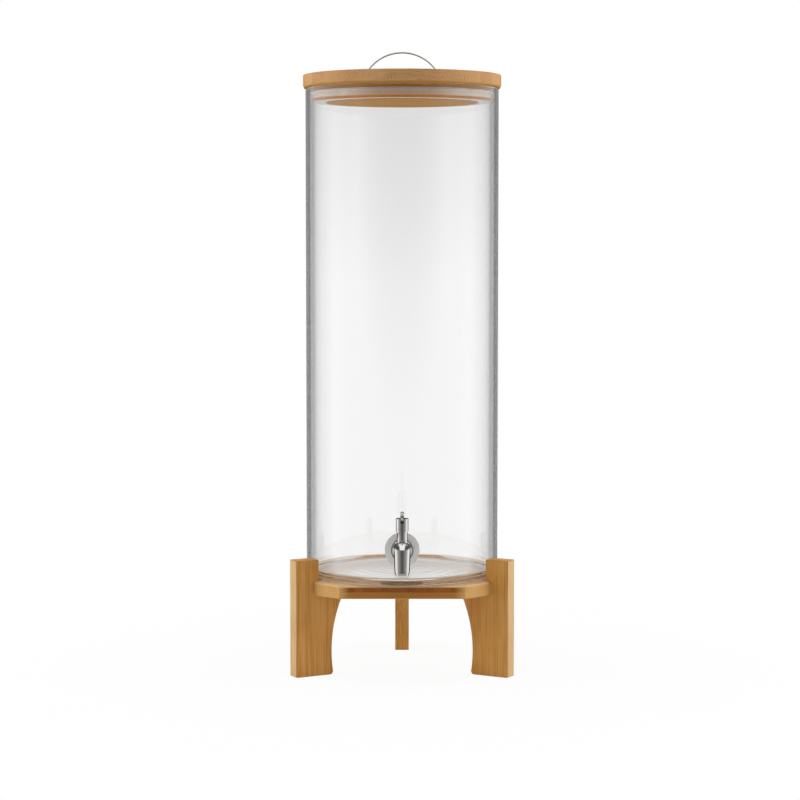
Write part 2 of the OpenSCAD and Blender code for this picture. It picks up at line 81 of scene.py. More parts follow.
def linear(code):
    """Linear colour, with full alpha, of an sRGB hex value."""
    parts = [int(code[i : i + 2], 16) / 255 for i in (1, 3, 5)]
    return tuple(c / 12.92 if c <= 0.04045 else ((c + 0.055) / 1.055) ** 2.4 for c in parts) + (1,)


def add(tree, kind, inputs=None, stops=(), **settings):
    """Adds a node with its settings, values and links, and the (position, colour or grey) stops of a ramp.

    An input takes a value, a socket, a node, whose first output is meant, or a list of these.
    """
    node = tree.nodes.new(kind)
    for i, (place, colour) in enumerate(stops):
        marks = node.color_ramp.elements
        mark = marks[i] if i < len(marks) else marks.new(place)
        mark.position = place
        mark.color = (colour, colour, colour, 1) if isinstance(colour, float) else colour
    for key, value in settings.items():
        setattr(node, key, value)
    for key, value in (inputs or {}).items():
        for item in value if isinstance(value, list) else [value]:
            if isinstance(item, bpy.types.Node):
                item = next(socket for socket in item.outputs if socket.enabled)
            if isinstance(item, bpy.types.NodeSocket):
                tree.links.new(item, node.inputs[key])
            else:
                node.inputs[key].default_value = item
    return node


def length(label, text, value):
    """A size that a user may change, in metres."""
    return bpy.props.FloatProperty(name=label, description=text, default=value, unit="LENGTH", precision=5)


def tone(label, text, code):
    """A colour that a user may change."""
    return bpy.props.FloatVectorProperty(
        name=label, description=text, default=linear(code), subtype="COLOR", size=4, min=0, max=1
    )


class DispenserSizes(bpy.types.PropertyGroup):
    """Sizes that the solids don't carry or that the looks refine."""

    glass_wall: length("Glass wall", "Thickness of the jar's wall", 4.5 * MM)
    glass_base: length("Glass base", "Thickness of the jar's base", 5 * MM)
    heel: length("Heel", "Radius between the jar's wall and its base", 5 * MM)
    punt: length("Punt", "How far the middle of the base is pushed up", 0.3 * MM)
    board_edge: length("Board edge", "Rounding of the sanded edges of the boards", 1.1 * MM)
    leg_strip: length("Leg strip", "Width of one glued strip in the legs", 6 * MM)
    plate_strip: length("Plate strip", "Width of one glued strip in the plate", 9 * MM)
    lid_strip: length("Lid strip", "Width of one glued strip in the lid", 19 * MM)
    knuckle: length("Knuckles", "Distance between the knuckles of a strip in the lid", 190 * MM)
    fibre: length("Fibre", "Width of the fibre streaks, drawn coarse enough to show", 1.1 * MM)
    lever_corner: length("Lever corner", "Rounding of the lever's edges", 1.2 * MM)
    thread_pitch: length("Thread pitch", "Pitch of the thread on the tap's shank", 1.25 * MM)


class DispenserColours(bpy.types.PropertyGroup):
    """Colours of the finishes."""

    leg_dark: tone("Leg, dark", "Darkest fibres of the legs", "#ab732f")
    leg_mid: tone("Leg", "Middle tone of the legs", "#cf9447")
    leg_light: tone("Leg, light", "Palest fibres of the legs", "#ddac62")
    # The edge tones are painted side light and sheen on the legs' outer narrow edges; the middle one is also
    # a plain tone of the plate
    edge_dark: tone("Edge, dark", "Darkest fibres on the narrow edges of the boards", "#c39659")
    edge_mid: tone("Edge", "Middle tone of the narrow edges of the boards", "#d6b07a")
    edge_light: tone("Edge, light", "Palest fibres on the narrow edges of the boards", "#e2c290")
    plate_mid: tone("Plate", "Middle tone of the plate", "#d6a765")
    # Cut-end tones, darkened as painted shade and shadow on the plate's front and back flats
    end_grain_and_shadow_dark: tone("End grain, dark", "Pores of the cut ends of the plate's strips", "#7a3f12")
    end_grain_and_shade_light: tone("End grain, light", "Cut ends of the plate's strips", "#ad6a2a")
    lid_dark: tone("Lid, dark", "Darkest fibres of the lid", "#ad7d54")
    lid_mid: tone("Lid", "Middle tone of the lid", "#c89866")
    lid_light: tone("Lid, light", "Palest fibres of the lid", "#d3a97a")
    lid_inner: tone("Lid, inside", "Tone of the lid below its disc, under the glass", "#dca048")
    steel: tone("Stainless steel", "Tone of the polished tap", "#efedea")
    brushed: tone("Brushed steel", "Tone of the brushed flange, washer and nut", "#fbfaf8")
    silicone: tone("Silicone", "Tone of the milky seal", "#e2c2a8")
    # Painted sheen: the tone the silicone takes where it turns away
    silicone_rim: tone("Silicone, turned", "Tone of the seal where it turns away", "#fbf1e4")


def finish(name):
    """A new material, its empty node tree and the coordinates of the piece that it coats."""
    material = bpy.data.materials.new(name)
    material.use_nodes = True
    tree = material.node_tree
    tree.nodes.clear()
    return material, tree, add(tree, "ShaderNodeTexCoord").outputs


def bamboo_grain(tree, place, turn, strip, ply, shift):
    """Tone and streaks of glued bamboo strips with their grain along the turned Z."""
    across = 1 / bpy.context.scene.dispenser_sizes.fibre
    # A streak is about 60 times as long as it is wide
    along = across / 60
    patch = 38.5 * MM
    spot = {"Vector": place["Object"], "Rotation": Euler(turn), "Location": shift}
    board = add(tree, "ShaderNodeMapping", spot)
    spread = {0: board, 1: (1 / strip, 1 / ply, 0), 2: (0, 0, 0.5)}
    grid = add(tree, "ShaderNodeVectorMath", spread, operation="MULTIPLY_ADD")
    cell = add(tree, "ShaderNodeVectorMath", {0: grid}, operation="FLOOR")
    strips = add(tree, "ShaderNodeTexWhiteNoise", {"Vector": cell}, noise_dimensions="3D")
    fibres = add(tree, "ShaderNodeMapping", {"Vector": board, "Scale": (across, across, along)})
    streak = add(
        tree, "ShaderNodeTexNoise",
        {"Vector": fibres, "Scale": 1.0, "Detail": 3.0, "Roughness": 0.62, "Distortion": 0.15},
    )
    slow = {"Vector": board, "Scale": 1 / patch, "Detail": 2.0, "Roughness": 0.5}
    drift = add(tree, "ShaderNodeTexNoise", slow)
    # Strips, streaks and slow drift are weighed together into one tone
    grain = 0.0
    for part, weight in ((strips, 0.13), (streak, 0.75), (drift, 0.26)):
        grain = add(tree, "ShaderNodeMath", {0: part, 1: weight, 2: grain}, operation="MULTIPLY_ADD")
    return grain, streak


def oiled(tree, colour, streak, dull=0.5, gloss=0.35):
    """The satin of an oiled board: fibres in the colour, the gloss and the relief."""
    swing = 0.08
    sheen = add(
        tree, "ShaderNodeMapRange",
        {"Value": streak, "From Min": 0.2, "From Max": 0.8, "To Min": dull - swing, "To Max": dull + swing},
    )
    relief = add(tree, "ShaderNodeBump", {"Height": streak, "Strength": 0.12, "Distance": 0.25 * MM})
    wood = add(
        tree, "ShaderNodeBsdfPrincipled",
        {"Base Color": colour, "Roughness": sheen, "Normal": relief, "Specular IOR Level": gloss},
    )
    add(tree, "ShaderNodeOutputMaterial", {"Surface": wood})


def faces_along(tree, place, turn, axis, power, both=True):
    """How squarely a face looks along one axis of a turned board, sharpened by a power."""
    facing = {"Vector": place["Normal"], "Rotation": Euler(turn)}
    turned = add(tree, "ShaderNodeMapping", facing, vector_type="VECTOR")
    part = add(tree, "ShaderNodeSeparateXYZ", {0: turned}).outputs[axis]
    lowest = add(tree, "ShaderNodeMath", {0: part, 1: -1.0 if both else 0.0}, operation="MULTIPLY")
    size = add(tree, "ShaderNodeMath", {0: part, 1: lowest}, operation="MAXIMUM")
    return add(tree, "ShaderNodeMath", {0: size, 1: power}, operation="POWER")


# Laminated bamboo, planed, sanded and oiled: narrow glued strips of slightly different tone with fine
# dark fibres along the grain. The outer narrow edge is painted in paler tones, a painted side light and
# sheen.
def leg_bamboo(name, angle):
    sizes = bpy.context.scene.dispenser_sizes
    colours = bpy.context.scene.dispenser_colours
    material, tree, place = finish(name)
    turn = (0, 0, -math.radians(angle))
    thick = 15.2 * MM
    # Each leg is cut from another stretch of the board
    shift = (0, thick / 2, angle * 10 * MM)
    grain, streak = bamboo_grain(tree, place, turn, sizes.leg_strip, thick, shift)
    tones = (colours.leg_dark, colours.leg_mid, colours.leg_light)
    broad = add(tree, "ShaderNodeValToRGB", {"Fac": grain}, stops=zip(GRAIN_STOPS, tones))
    # Painted light: the outer narrow edge takes these paler tones as painted side light and sheen
    painted_sheen_tones = (colours.edge_dark, colours.edge_mid, colours.edge_light)
    edge = add(tree, "ShaderNodeValToRGB", {"Fac": grain}, stops=zip(GRAIN_STOPS, painted_sheen_tones))
    outer = faces_along(tree, place, turn, "X", 4.0, False)
    both = add(tree, "ShaderNodeMix", {"Factor": outer, "A": broad, "B": edge}, data_type="RGBA")
    oiled(tree, both, streak)
    return material


# Two crossed plies of the same bamboo: the upper one shows its cut ends at the front and the back, the lower
# one its fibres. On those flats both plies are darkened by painted shade, the upper one most, a painted
# shadow of the overhanging jar over the dark tone of its cut ends; the rounded corners between the flats keep
# the paler plain tone.
def plate_bamboo():
    strip = bpy.context.scene.dispenser_sizes.plate_strip
    colours = bpy.context.scene.dispenser_colours
    material, tree, place = finish("plate_bamboo")
    ply = 7 * MM
    grain, streak = bamboo_grain(tree, place, (0, -math.pi / 2, 0), ply, strip, (2 * MM, 3 * MM, 0))
    cross = bamboo_grain(tree, place, (math.pi / 2, 0, 0), strip, ply, (4 * MM, 0, 0))[0]
    parts = add(tree, "ShaderNodeSeparateXYZ", {0: place["Object"]}).outputs
    off = add(tree, "ShaderNodeMath", {0: parts["X"]}, operation="ABSOLUTE")
    inward = add(
        tree, "ShaderNodeMapRange",
        {"Value": off, "From Min": 54 * MM, "From Max": 65 * MM, "To Min": 1.0, "To Max": 0.0},
    )
    # The front and back flats take darker tones, partly the cut ends and partly painted shade and shadow
    flat = faces_along(tree, place, UNTURNED, "Y", 8.0)
    front = add(tree, "ShaderNodeMath", {0: flat, 1: inward}, operation="MULTIPLY")
    pale = tuple(zip(GRAIN_STOPS, (colours.leg_mid, colours.plate_mid, colours.edge_mid)))
    along = ((0.36, colours.end_grain_and_shade_light), (0.6, colours.leg_dark), (0.82, colours.leg_mid))
    ends = ((0.4, colours.end_grain_and_shadow_dark), (0.75, colours.end_grain_and_shade_light))
    layers = []
    for tone_of, front_stops in ((grain, along), (cross, ends)):
        plain = add(tree, "ShaderNodeValToRGB", {"Fac": tone_of}, stops=pale)
        cut = add(tree, "ShaderNodeValToRGB", {"Fac": tone_of}, stops=front_stops)
        layers.append(add(tree, "ShaderNodeMix", {"Factor": front, "A": plain, "B": cut}, data_type="RGBA"))
    # The plies meet halfway up, and the sanded upper edge is painted pale, a painted highlight
    joint = PLATE_LOW.z + ply
    brim_highlight = PLATE_HIGH.z - 1.8 * MM
    blend = 0.3 * MM
    upper = add(
        tree, "ShaderNodeMapRange",
        {"Value": parts["Z"], "From Min": joint - blend, "From Max": joint + blend},
    )
    edge = add(
        tree, "ShaderNodeMapRange",
        {"Value": parts["Z"], "From Min": brim_highlight - blend, "From Max": brim_highlight + blend, "To Max": 0.9},
    )
    plies = add(tree, "ShaderNodeMix", {"Factor": upper, "A": layers[0], "B": layers[1]}, data_type="RGBA")
    whole = add(tree, "ShaderNodeMix", {"Factor": edge, "A": plies, "B": linear("#e6bb88")}, data_type="RGBA")
    oiled(tree, whole, streak, gloss=0.22)
    return material


def knuckle_strokes(tree, place, parts, streak):
    """Where the short strokes of the knuckles show in the strips of the lid."""
    strip = bpy.context.scene.dispenser_sizes.lid_strip
    knuckle = bpy.context.scene.dispenser_sizes.knuckle
    # Each strip has its knuckles further along than the strip before, by this share of their distance
    stagger = 0.61
    start = 0.605
    shifted = add(tree, "ShaderNodeMath", {0: parts["Y"], 1: strip / 2}, operation="ADD")
    rows = add(tree, "ShaderNodeMath", {0: shifted, 1: strip}, operation="DIVIDE")
    row = add(tree, "ShaderNodeMath", {0: rows}, operation="FLOOR")
    offset = add(tree, "ShaderNodeMath", {0: row, 1: stagger, 2: start}, operation="MULTIPLY_ADD")
    run = add(tree, "ShaderNodeMath", {0: parts["X"], 1: 1 / knuckle, 2: offset}, operation="MULTIPLY_ADD")
    lap = add(tree, "ShaderNodeMath", {0: run}, operation="FRACT")
    away = add(tree, "ShaderNodeMath", {0: lap, 1: 0.5}, operation="SUBTRACT")
    near = add(tree, "ShaderNodeMath", {0: away}, operation="ABSOLUTE")
    full = 4 * MM / knuckle
    window = add(
        tree, "ShaderNodeMapRange",
        {"Value": near, "From Min": full, "From Max": 2 * full, "To Min": 0.6, "To Max": 0.0},
    )
    stroke_gap = 3.4 * MM
    strokes = 2 * math.pi * knuckle / stroke_gap
    wobble = add(tree, "ShaderNodeMath", {0: away, 1: strokes, 2: streak}, operation="MULTIPLY_ADD")
    wave = add(tree, "ShaderNodeMath", {0: wobble}, operation="COSINE")
    stroke = add(tree, "ShaderNodeMapRange", {"Value": wave, "From Min": 0.2, "From Max": 1.0})
    broken = add(tree, "ShaderNodeMapRange", {"Value": streak, "From Min": 0.42, "From Max": 0.58})
    # On the rim of the disc they run through the middle of its thickness only
    centre = JAR_HIGH.z + 5.5 * MM
    middle = add(tree, "ShaderNodeMath", {0: parts["Z"], 1: centre}, operation="SUBTRACT")
    height = add(tree, "ShaderNodeMath", {0: middle}, operation="ABSOLUTE")
    rim = add(
        tree, "ShaderNodeMapRange",
        {"Value": height, "From Min": 2 * MM, "From Max": 3.5 * MM, "To Min": 1.0, "To Max": 0.0},
    )
    upward = faces_along(tree, place, UNTURNED, "Z", 8.0)
    shown = add(tree, "ShaderNodeMath", {0: rim, 1: upward}, operation="MAXIMUM")
    mark = window
    for share in (stroke, broken, shown):
        mark = add(tree, "ShaderNodeMath", {0: mark, 1: share}, operation="MULTIPLY")
    return mark


# The same bamboo left paler and nearly raw on the lid, where broad strips show the short dark strokes
# of their knuckles.
def lid_bamboo():
    strip = bpy.context.scene.dispenser_sizes.lid_strip
    colours = bpy.context.scene.dispenser_colours
    material, tree, place = finish("lid_bamboo")
    thick = 40 * MM
    grain, streak = bamboo_grain(tree, place, (0, -math.pi / 2, 0), thick, strip, (0, strip / 2, 0))
    tones = (colours.lid_dark, colours.lid_mid, colours.lid_light)
    whole = add(tree, "ShaderNodeValToRGB", {"Fac": grain}, stops=zip(GRAIN_STOPS, tones))
    parts = add(tree, "ShaderNodeSeparateXYZ", {0: place["Object"]}).outputs
    mark = knuckle_strokes(tree, place, parts, streak)
    # Painted shade: the rounded lower edge of the disc is darkened to a deep gold
    disc = JAR_HIGH.z
    edge = disc + 0.9 * MM
    lower = add(
        tree, "ShaderNodeMapRange",
        {"Value": parts["Z"], "From Min": edge, "From Max": edge + 1 * MM, "To Min": 0.85, "To Max": 0.0},
    )
    # Below the disc the wood takes a deeper tone, and its step a painted shade from the disc's overhang
    step = SEAL_HIGH.z
    rise = {"Value": parts["Z"], "From Min": step, "From Max": step + 0.4 * MM}
    inner = add(tree, "ShaderNodeMapRange", rise)
    step_shade_tones = {"Factor": inner, "A": colours.lid_inner, "B": linear("#d08a0c")}
    deeper = add(tree, "ShaderNodeMix", step_shade_tones, data_type="RGBA")
    below = add(
        tree, "ShaderNodeMapRange",
        {"Value": parts["Z"], "From Min": disc, "From Max": disc + 0.2 * MM, "To Min": 0.85, "To Max": 0.0},
    )
    for share, colour in ((mark, linear("#6b4526")), (lower, linear("#a87c24")), (below, deeper)):
        whole = add(tree, "ShaderNodeMix", {"Factor": share, "A": whole, "B": colour}, data_type="RGBA")
    oiled(tree, whole, streak, dull=0.75, gloss=0.12)
    return material


# Drawn and fire-polished soda glass: clear and very smooth, painted grey as shade where a wall is seen
# edge-on.
# Lamps shine through it.
def clear_glass():
    material, tree, place = finish("soda_glass")
    upward = add(tree, "ShaderNodeSeparateXYZ", {0: place["Normal"]}).outputs["Z"]
    lean = add(tree, "ShaderNodeMath", {0: upward}, operation="ABSOLUTE")
    upright = add(
        tree, "ShaderNodeMapRange",
        {"Value": lean, "From Min": 0.1, "From Max": 0.4, "To Min": 1.0, "To Max": 0.0},
    )
    slant = add(tree, "ShaderNodeLayerWeight", {"Blend": 0.5}).outputs["Facing"]
    # Painted shade: a grey that follows how edge-on the wall is seen
    greys = ((0.0, 0.97), (0.32, 0.97), (0.5, 0.82), (0.62, 0.6), (0.68, 0.36), (0.71, 0.08), (0.76, 0.12),
             (0.84, 0.25), (1.0, 0.5))
    edge = add(tree, "ShaderNodeValToRGB", {"Fac": slant}, stops=greys)
    clear = (0.98, 0.98, 0.98, 1)
    tint = add(tree, "ShaderNodeMix", {"Factor": upright, "A": clear, "B": edge}, data_type="RGBA")
    # Painted reflection: the rounded corner between floor and wall is tinted with the tone of the wood that
    # the jar stands on
    height = add(tree, "ShaderNodeSeparateXYZ", {0: place["Object"]}).outputs["Z"]
    corner = {0: height, 1: JAR_LOW.z + 8 * MM, 2: 3.2 * MM}
    near = add(tree, "ShaderNodeMath", corner, operation="COMPARE")
    bends = ((0.3, 0.0), (0.6, 1.0), (0.93, 1.0), (0.99, 0.0))
    bend = add(tree, "ShaderNodeValToRGB", {"Fac": lean}, stops=bends)
    painted_wood_reflection = add(tree, "ShaderNodeMath", {0: near, 1: bend}, operation="MULTIPLY")
    wood = linear("#c4ad8c")
    warm = add(tree, "ShaderNodeMix", {"Factor": painted_wood_reflection, "A": tint, "B": wood}, data_type="RGBA")
    # The pressed underside is less polished than the drawn wall
    foot = JAR_LOW.z + 1.5 * MM
    dull = add(
        tree, "ShaderNodeMapRange",
        {"Value": height, "From Min": foot, "From Max": foot + 1.5 * MM, "To Min": 0.15, "To Max": 0.0},
    )
    glass = add(
        tree, "ShaderNodeBsdfPrincipled",
        {"Base Color": warm, "Roughness": dull, "IOR": 1.5, "Transmission Weight": 1.0},
    )
    path = add(tree, "ShaderNodeLightPath").outputs
    through = add(tree, "ShaderNodeBsdfTransparent", {"Color": (0.96, 0.96, 0.96, 1)})
    both = add(tree, "ShaderNodeMixShader", {0: path["Is Shadow Ray"], 1: glass, 2: through})
    add(tree, "ShaderNodeOutputMaterial", {"Surface": both})
    return material


def uneven_gloss(tree, place, patch, detail, fineness, low, high):
    """A roughness that wanders between two values, over patches of a size."""
    wear = add(
        tree, "ShaderNodeTexNoise",
        {"Vector": place["Object"], "Scale": 1 / patch, "Detail": detail, "Roughness": fineness},
    )
    return add(
        tree, "ShaderNodeMapRange",
        {"Value": wear, "From Min": 0.3, "From Max": 0.7, "To Min": low, "To Max": high},
    )


# Stainless steel, turned and then polished or brushed: bright, with turning marks about the axis of the
# piece that soften the gloss and, on brushed faces, show as faint darker arcs.
def turned_steel(name, colour, rough, arcs, turn=UNTURNED, centre=(0, 0, 0), brush=0.0, metal=1.0):
    material, tree, place = finish(name)
    spot = {"Vector": place["Object"], "Rotation": Euler(turn), "Location": centre}
    turned = add(tree, "ShaderNodeMapping", spot)
    # Turning marks 0.6 mm apart and arcs 1.8 mm apart, wider than real ones so that they show. A Wave
    # texture of scale 1 has a ring every 0.314 m.
    ring_gap = 0.314
    waves = []
    for apart, bend, detail, fine in ((0.6 * MM, 3.0, 3.0, 2.0), (1.8 * MM, 0.8, 2.0, 1.5)):
        wave = add(
            tree, "ShaderNodeTexWave",
            {"Vector": turned, "Scale": ring_gap / apart, "Distortion": bend, "Detail": detail,
             "Detail Scale": fine},
            wave_type="RINGS", rings_direction="Z",
        )
        waves.append(wave.outputs["Fac"])
    marks, bands = waves
    gloss = uneven_gloss(tree, place, 11.1 * MM, 4.0, 0.6, rough * 0.8, rough * 1.3)
    relief = add(tree, "ShaderNodeBump", {"Height": marks, "Strength": 0.05, "Distance": 0.1 * MM})
    share = add(tree, "ShaderNodeMath", {0: bands, 1: arcs}, operation="MULTIPLY")
    arc_tone = 0.4
    shade = (*(part * arc_tone for part in colour[:3]), 1)
    tint = add(tree, "ShaderNodeMix", {"Factor": share, "A": colour, "B": shade}, data_type="RGBA")
    # Brush lines run round the axis and spread what they mirror across themselves
    lines = add(tree, "ShaderNodeTangent", direction_type="RADIAL", axis="Y")
    # Painted shade: the steel is darkened where it is seen almost edge-on, for its dark outlines
    slant = add(tree, "ShaderNodeLayerWeight", {"Blend": 0.5}).outputs["Facing"]
    edge = add(
        tree, "ShaderNodeMapRange",
        {"Value": slant, "From Min": 0.48, "From Max": 0.72, "To Min": 0.0, "To Max": 0.85},
    )
    dark = (0.02, 0.02, 0.02, 1)
    whole = add(tree, "ShaderNodeMix", {"Factor": edge, "A": tint, "B": dark}, data_type="RGBA")
    # The dark specular tint darkens the grazing reflection too, also painted shade for the outlines
    steel = add(
        tree, "ShaderNodeBsdfPrincipled",
        {"Base Color": whole, "Metallic": metal, "Roughness": gloss, "Normal": relief, "Anisotropic": brush,
         "Tangent": lines, "Specular Tint": (0.08, 0.08, 0.08, 1)},
    )
    add(tree, "ShaderNodeOutputMaterial", {"Surface": steel})
    return material


# Food-grade silicone, moulded: milky, soft and slightly dull, with a painted sheen that makes it paler where
# it turns away. The seal's lower rim is painted amber as light from the wood and its upper rim pale as a
# painted highlight.
def milky_silicone(name, low=None, high=None):
    colours = bpy.context.scene.dispenser_colours
    material, tree, place = finish(name)
    dull = uneven_gloss(tree, place, 3.33 * MM, 2.0, 0.5, 0.24, 0.36)
    slant = add(tree, "ShaderNodeLayerWeight", {"Blend": 0.5}).outputs["Facing"]
    tones = ((0.05, linear("#e9e1d6") if low is None else colours.silicone), (0.24, colours.silicone_rim))
    tint = add(tree, "ShaderNodeValToRGB", {"Fac": slant}, stops=tones)
    if low is not None:
        height = add(tree, "ShaderNodeSeparateXYZ", {0: place["Object"]}).outputs["Z"]
        level = add(tree, "ShaderNodeMapRange", {"Value": height, "From Min": low, "From Max": high})
        # Painted light: an amber lower rim for light from the wood and a pale upper rim for a highlight
        amber = linear("#e69a34")
        pale = linear("#efe6da")
        colour_stops = ((0.01, pale), (0.02, amber), (0.94, amber), (0.95, pale))
        share_stops = ((0.0, 1.0), (0.22, 1.0), (0.3, 0.0), (0.93, 0.0), (0.95, 1.0))
        painted_rim_light = add(tree, "ShaderNodeValToRGB", {"Fac": level}, stops=colour_stops)
        share = add(tree, "ShaderNodeValToRGB", {"Fac": level}, stops=share_stops)
        tint = add(tree, "ShaderNodeMix", {"Factor": share, "A": tint, "B": painted_rim_light}, data_type="RGBA")
    silicone = add(tree, "ShaderNodeBsdfPrincipled", {"Base Color": tint, "Roughness": dull, "IOR": 1.41})
    add(tree, "ShaderNodeOutputMaterial", {"Surface": silicone})
    return material


# Black nitrile rubber, moulded: dark grey with a dull, faintly gritty sheen.
def black_rubber():
    material, tree, place = finish("nitrile_rubber")
    dull = uneven_gloss(tree, place, 0.667 * MM, 2.0, 0.5, 0.5, 0.7)
    rubber = add(tree, "ShaderNodeBsdfPrincipled", {"Base Color": linear("#1d1d1e"), "Roughness": dull})
    add(tree, "ShaderNodeOutputMaterial", {"Surface": rubber})
    return material


def put(name, data):
    """A new object in the scene."""
    thing = bpy.data.objects.new(name, data)
    bpy.context.scene.collection.objects.link(thing)
    return thing


def mesh_of(name, work):
    """The mesh of a finished edit."""
    mesh = bpy.data.meshes.new(name)
    work.to_mesh(mesh)
    work.free()
    return mesh


def baked(thing):
    """The plain mesh that an object's modifiers make. The object goes."""
    bpy.context.view_layer.update()
    mesh = bpy.data.meshes.new_from_object(thing.evaluated_get(bpy.context.evaluated_depsgraph_get()))
    thing.modifiers.clear()
    bpy.data.objects.remove(thing)
    return mesh


def open_tree(name, sizes):
    """A Geometry Nodes tree with a geometry, named sizes and a finish as its inputs."""
    tree = bpy.data.node_groups.new(name, "GeometryNodeTree")
    tree.interface.new_socket("Geometry", in_out="OUTPUT", socket_type="NodeSocketGeometry")
    tree.interface.new_socket("Geometry", in_out="INPUT", socket_type="NodeSocketGeometry")
    for size in sizes:
        tree.interface.new_socket(size, in_out="INPUT", socket_type="NodeSocketFloat")
    tree.interface.new_socket("Finish", in_out="INPUT", socket_type="NodeSocketMaterial")
    return tree, add(tree, "NodeGroupInput").outputs


def close_tree(tree, geometry, given):
    """Makes a tree's instances real, sets their finish and passes them on."""
    real = add(tree, "GeometryNodeRealizeInstances", {"Geometry": geometry})
    coated = add(tree, "GeometryNodeSetMaterial", {"Geometry": real, "Material": given["Finish"]})
    add(tree, "NodeGroupOutput", {0: coated})
    return tree


def grown(tree, corners, values, edges=(), widths=None):
    """The plain mesh that a tree grows on a set of corners."""
    start = bpy.data.meshes.new("start")
    start.from_pydata([tuple(corner) for corner in corners], list(edges), [])
    if widths:
        start.attributes.new("width", "FLOAT", "POINT").data.foreach_set("value", widths)
    carrier = put("carrier", start)
    grow = carrier.modifiers.new("grow", "NODES")
    grow.node_group = tree
    for item in tree.interface.items_tree:
        if item.in_out == "INPUT" and item.name in values:
            grow[item.identifier] = values[item.name]
    return baked(carrier)


def screw_tree():
    """Cross-recessed screws, one on each corner, each turned as the driver left it."""
    tree, given = open_tree(
        "cross_recessed_screws",
        ("Top radius", "Head radius", "Edge height", "Sink height", "Shank radius", "Length", "Recess width",
         "Recess depth"),
    )
    sides = 24
    head = given["Head radius"]
    shank = given["Shank radius"]
    sink = given["Sink height"]
    under = add(tree, "ShaderNodeMath", {0: sink, 1: -1.0}, operation="MULTIPLY")
    tip = add(tree, "ShaderNodeMath", {0: given["Length"], 1: -1.0}, operation="MULTIPLY")
    shaft = add(tree, "ShaderNodeMath", {0: tip, 1: shank}, operation="ADD")
    shaft_length = add(tree, "ShaderNodeMath", {0: under, 1: shaft}, operation="SUBTRACT")
    stretches = (
        (head, given["Top radius"], given["Edge height"], 0.0),
        (shank, head, sink, under),
        (shank, shank, shaft_length, shaft),
        (0.0, shank, shank, tip),
    )
    pieces = []
    for low, high, tall, base in stretches:
        cone = add(
            tree, "GeometryNodeMeshCone",
            {"Vertices": sides, "Radius Bottom": low, "Radius Top": high, "Depth": tall}, fill_type="NONE",
        )
        lift = add(tree, "ShaderNodeCombineXYZ", {"Z": base})
        pieces.append(add(tree, "GeometryNodeTransform", {"Geometry": cone, "Translation": lift}))
    circle = {"Vertices": sides, "Radius": given["Top radius"]}
    disc = add(tree, "GeometryNodeMeshCircle", circle, fill_type="NGON")
    top = add(tree, "ShaderNodeCombineXYZ", {"Z": given["Edge height"]})
    pieces.append(add(tree, "GeometryNodeTransform", {"Geometry": disc, "Translation": top}))
    joined = add(tree, "GeometryNodeJoinGeometry", {"Geometry": pieces})
    screw = add(tree, "GeometryNodeMergeByDistance", {"Geometry": joined, "Distance": 0.001 * MM})
    # The second arm is a shade shallower, so that no two faces of the recess fall together
    for wide, deep, share in (("Head radius", "Recess width", 2.0), ("Recess width", "Head radius", 1.9)):
        depth = add(tree, "ShaderNodeMath", {0: given["Recess depth"], 1: share}, operation="MULTIPLY")
        arm = add(tree, "ShaderNodeCombineXYZ", {"X": given[wide], "Y": given[deep], "Z": depth})
        block = add(tree, "GeometryNodeMeshCube", {"Size": arm})
        sunk = add(tree, "GeometryNodeTransform", {"Geometry": block, "Translation": top})
        cut = {"Mesh 1": screw, "Mesh 2": sunk}
        screw = add(tree, "GeometryNodeMeshBoolean", cut, operation="DIFFERENCE")
    angle = add(
        tree, "FunctionNodeRandomValue", {"Min": (0, 0, 0), "Max": (0, 0, math.pi / 2), "Seed": 7},
        data_type="FLOAT_VECTOR",
    )
    driven = add(
        tree, "GeometryNodeInstanceOnPoints",
        {"Points": given["Geometry"], "Instance": screw, "Rotation": angle},
    )
    return close_tree(tree, driven, given)


def ring_tree():
    """Rings of round cord, one on each corner."""
    tree, given = open_tree("cord_rings", ("Ring radius", "Cord radius"))
    ring = add(tree, "GeometryNodeCurvePrimitiveCircle", {"Resolution": 48, "Radius": given["Ring radius"]})
    cord = add(tree, "GeometryNodeCurvePrimitiveCircle", {"Resolution": 12, "Radius": given["Cord radius"]})
    tube = add(tree, "GeometryNodeCurveToMesh", {"Curve": ring, "Profile Curve": cord})
    placed = add(tree, "GeometryNodeInstanceOnPoints", {"Points": given["Geometry"], "Instance": tube})
    return close_tree(tree, placed, given)


def thread_tree():
    """A screw thread that winds forwards from each corner."""
    tree, given = open_tree("wound_thread", ("Radius", "Pitch", "Length", "Ridge"))
    turns = add(tree, "ShaderNodeMath", {0: given["Length"], 1: given["Pitch"]}, operation="DIVIDE")
    coil = add(
        tree, "GeometryNodeCurveSpiral",
        {"Resolution": 48, "Rotations": turns, "Start Radius": given["Radius"], "End Radius": given["Radius"],
         "Height": given["Length"]},
    )
    ridge = add(tree, "GeometryNodeCurvePrimitiveCircle", {"Resolution": 4, "Radius": given["Ridge"]})
    wound = add(tree, "GeometryNodeCurveToMesh", {"Curve": coil, "Profile Curve": ridge, "Fill Caps": True})
    placed = add(
        tree, "GeometryNodeInstanceOnPoints",
        {"Points": given["Geometry"], "Instance": wound, "Rotation": Euler((math.pi / 2, 0, 0))},
    )
    return close_tree(tree, placed, given)


